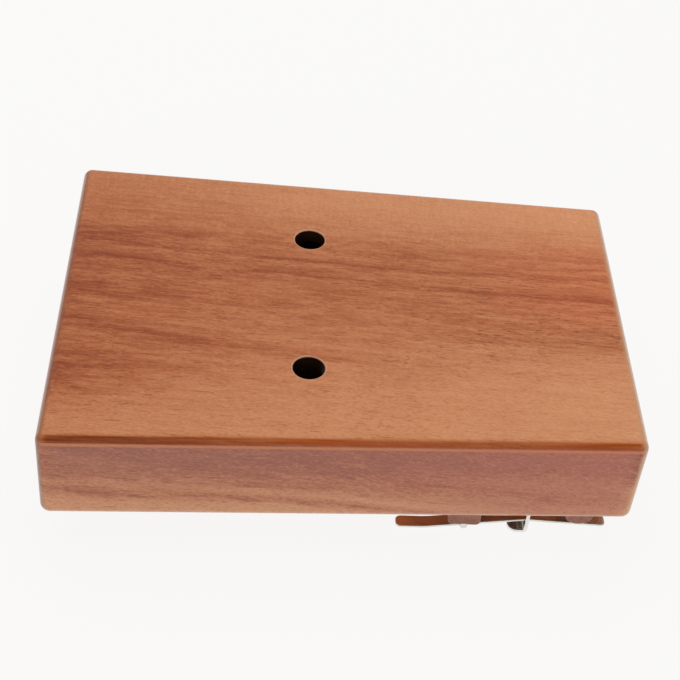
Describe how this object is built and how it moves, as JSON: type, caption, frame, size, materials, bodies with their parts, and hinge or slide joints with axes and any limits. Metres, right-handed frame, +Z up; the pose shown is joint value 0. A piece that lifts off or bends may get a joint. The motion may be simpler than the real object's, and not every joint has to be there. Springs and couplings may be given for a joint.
{
  "type": "kalimba",
  "caption": "Box kalimba lying face down: tapered wooden sound box with finger holes in its back, and steel tines over a saddle rod, held by a screwed pressure bar.",
  "frame": {"origin": "centre of the object's bounding box in plan, at the level of the tine tips that it lies on", "axes": "+X from the wide end to the bridge end, +Y to the player's right, +Z up, out of the back of the box"},
  "size_m": [0.185, 0.1342, 0.0466],
  "materials": {
    "body_wood": "reddish brown hardwood under clear gloss lacquer",
    "board_wood": "reddish brown hardwood under clear gloss lacquer",
    "block_wood": "bare sanded hardwood",
    "bridge_wood": "reddish brown hardwood, satin",
    "rod_steel": "polished",
    "bar_steel": "polished, bent strip",
    "screw_steel": "plated",
    "tine_steel": "polished spring steel"
  },
  "bodies": {
    "body": {"body_shell": "body_wood", "soundboard": "board_wood", "bridge_block": "block_wood", "front_bridge": "bridge_wood", "saddle_rod": "rod_steel", "back_bridge": "bridge_wood", "pressure_bar": "bar_steel", "bar_screw_1": "screw_steel", "bar_screw_2": "screw_steel", "bar_screw_3": "screw_steel", "bar_screw_4": "screw_steel"},
    "tine_01": {"tine_01": "tine_steel"},
    "tine_02": {"tine_02": "tine_steel"},
    "tine_03": {"tine_03": "tine_steel"},
    "tine_04": {"tine_04": "tine_steel"},
    "tine_05": {"tine_05": "tine_steel"},
    "tine_06": {"tine_06": "tine_steel"},
    "tine_07": {"tine_07": "tine_steel"},
    "tine_08": {"tine_08": "tine_steel"},
    "tine_09": {"tine_09": "tine_steel"},
    "tine_10": {"tine_10": "tine_steel"},
    "tine_11": {"tine_11": "tine_steel"},
    "tine_12": {"tine_12": "tine_steel"},
    "tine_13": {"tine_13": "tine_steel"},
    "tine_14": {"tine_14": "tine_steel"},
    "tine_15": {"tine_15": "tine_steel"},
    "tine_16": {"tine_16": "tine_steel"},
    "tine_17": {"tine_17": "tine_steel"}
  },
  "joints": [
    {"name": "tine_01_pluck", "type": "hinge", "parent": "body", "child": "tine_01", "pos_m": [0.0402, -0.05387, 0.00421], "axis": [0, 1, 0], "range_deg": [-2.5, 2.5], "stiffness_Nm_per_rad": 10.06, "deforming": ["tine_01"]},
    {"name": "tine_02_pluck", "type": "hinge", "parent": "body", "child": "tine_02", "pos_m": [0.0402, -0.04713, 0.00421], "axis": [0, 1, 0], "range_deg": [-2.5, 2.5], "stiffness_Nm_per_rad": 9.22, "deforming": ["tine_02"]},
    {"name": "tine_03_pluck", "type": "hinge", "parent": "body", "child": "tine_03", "pos_m": [0.0402, -0.0404, 0.00421], "axis": [0, 1, 0], "range_deg": [-2.5, 2.5], "stiffness_Nm_per_rad": 8.22, "deforming": ["tine_03"]},
    {"name": "tine_04_pluck", "type": "hinge", "parent": "body", "child": "tine_04", "pos_m": [0.0402, -0.03367, 0.00421], "axis": [0, 1, 0], "range_deg": [-2.5, 2.5], "stiffness_Nm_per_rad": 7.53, "deforming": ["tine_04"]},
    {"name": "tine_05_pluck", "type": "hinge", "parent": "body", "child": "tine_05", "pos_m": [0.0402, -0.02693, 0.00421], "axis": [0, 1, 0], "range_deg": [-2.5, 2.5], "stiffness_Nm_per_rad": 6.71, "deforming": ["tine_05"]},
    {"name": "tine_06_pluck", "type": "hinge", "parent": "body", "child": "tine_06", "pos_m": [0.0402, -0.0202, 0.00421], "axis": [0, 1, 0], "range_deg": [-2.5, 2.5], "stiffness_Nm_per_rad": 6.15, "deforming": ["tine_06"]},
    {"name": "tine_07_pluck", "type": "hinge", "parent": "body", "child": "tine_07", "pos_m": [0.0402, -0.01347, 0.00421], "axis": [0, 1, 0], "range_deg": [-2.5, 2.5], "stiffness_Nm_per_rad": 5.48, "deforming": ["tine_07"]},
    {"name": "tine_08_pluck", "type": "hinge", "parent": "body", "child": "tine_08", "pos_m": [0.0402, -0.00673, 0.00421], "axis": [0, 1, 0], "range_deg": [-2.5, 2.5], "stiffness_Nm_per_rad": 5.03, "deforming": ["tine_08"]},
    {"name": "tine_09_pluck", "type": "hinge", "parent": "body", "child": "tine_09", "pos_m": [0.0402, 0, 0.00421], "axis": [0, 1, 0], "range_deg": [-2.5, 2.5], "stiffness_Nm_per_rad": 4.75, "deforming": ["tine_09"]},
    {"name": "tine_10_pluck", "type": "hinge", "parent": "body", "child": "tine_10", "pos_m": [0.0402, 0.00673, 0.00421], "axis": [0, 1, 0], "range_deg": [-2.5, 2.5], "stiffness_Nm_per_rad": 5.33, "deforming": ["tine_10"]},
    {"name": "tine_11_pluck", "type": "hinge", "parent": "body", "child": "tine_11", "pos_m": [0.0402, 0.01347, 0.00421], "axis": [0, 1, 0], "range_deg": [-2.5, 2.5], "stiffness_Nm_per_rad": 5.81, "deforming": ["tine_11"]},
    {"name": "tine_12_pluck", "type": "hinge", "parent": "body", "child": "tine_12", "pos_m": [0.0402, 0.0202, 0.00421], "axis": [0, 1, 0], "range_deg": [-2.5, 2.5], "stiffness_Nm_per_rad": 6.52, "deforming": ["tine_12"]},
    {"name": "tine_13_pluck", "type": "hinge", "parent": "body", "child": "tine_13", "pos_m": [0.0402, 0.02693, 0.00421], "axis": [0, 1, 0], "range_deg": [-2.5, 2.5], "stiffness_Nm_per_rad": 7.11, "deforming": ["tine_13"]},
    {"name": "tine_14_pluck", "type": "hinge", "parent": "body", "child": "tine_14", "pos_m": [0.0402, 0.03367, 0.00421], "axis": [0, 1, 0], "range_deg": [-2.5, 2.5], "stiffness_Nm_per_rad": 7.75, "deforming": ["tine_14"]},
    {"name": "tine_15_pluck", "type": "hinge", "parent": "body", "child": "tine_15", "pos_m": [0.0402, 0.0404, 0.00421], "axis": [0, 1, 0], "range_deg": [-2.5, 2.5], "stiffness_Nm_per_rad": 8.7, "deforming": ["tine_15"]},
    {"name": "tine_16_pluck", "type": "hinge", "parent": "body", "child": "tine_16", "pos_m": [0.0402, 0.04713, 0.00421], "axis": [0, 1, 0], "range_deg": [-2.5, 2.5], "stiffness_Nm_per_rad": 9.49, "deforming": ["tine_16"]},
    {"name": "tine_17_pluck", "type": "hinge", "parent": "body", "child": "tine_17", "pos_m": [0.0402, 0.05387, 0.00421], "axis": [0, 1, 0], "range_deg": [-2.5, 2.5], "stiffness_Nm_per_rad": 10.65, "deforming": ["tine_17"]}
  ]
}
